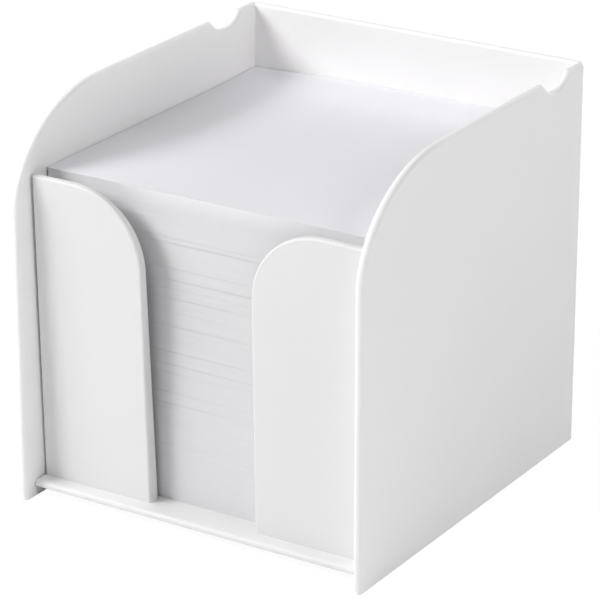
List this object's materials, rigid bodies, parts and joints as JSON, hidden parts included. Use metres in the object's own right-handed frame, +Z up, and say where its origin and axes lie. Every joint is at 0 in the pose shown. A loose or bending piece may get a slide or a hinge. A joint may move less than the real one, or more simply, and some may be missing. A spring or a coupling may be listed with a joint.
{
  "type": "memo sheet holder",
  "caption": "Open-topped white plastic holder for square memo sheets, with curved side walls, pen notches and a drawer that slides out at the front.",
  "frame": {"origin": "on the surface that the holder stands on, under the middle of its outline", "axes": "+X to the user's right, +Y to the back, +Z up"},
  "size_m": [0.095, 0.103, 0.098],
  "materials": {
    "housing_plastic": "moulded polystyrene, satin gloss",
    "drawer_plastic": "moulded polystyrene, satin gloss",
    "paper": "uncoated white paper"
  },
  "bodies": {
    "housing": {"housing": "housing_plastic"},
    "drawer": {"drawer": "drawer_plastic", "sheet_bundle_1": "paper", "sheet_bundle_2": "paper", "sheet_bundle_3": "paper", "sheet_bundle_4": "paper", "sheet_bundle_5": "paper", "sheet_bundle_6": "paper", "sheet_bundle_7": "paper", "open_sheet_bundle": "paper"},
    "top_sheets": {"loose_top_sheets": "paper"}
  },
  "joints": [
    {"name": "drawer_slide", "type": "slide", "parent": "housing", "child": "drawer", "axis": [0, -1, 0], "range_m": [0, 0.075]},
    {"name": "top_sheets_lift", "type": "slide", "parent": "drawer", "child": "top_sheets", "axis": [0, 0, 1], "range_m": [0, 0.04]}
  ]
}
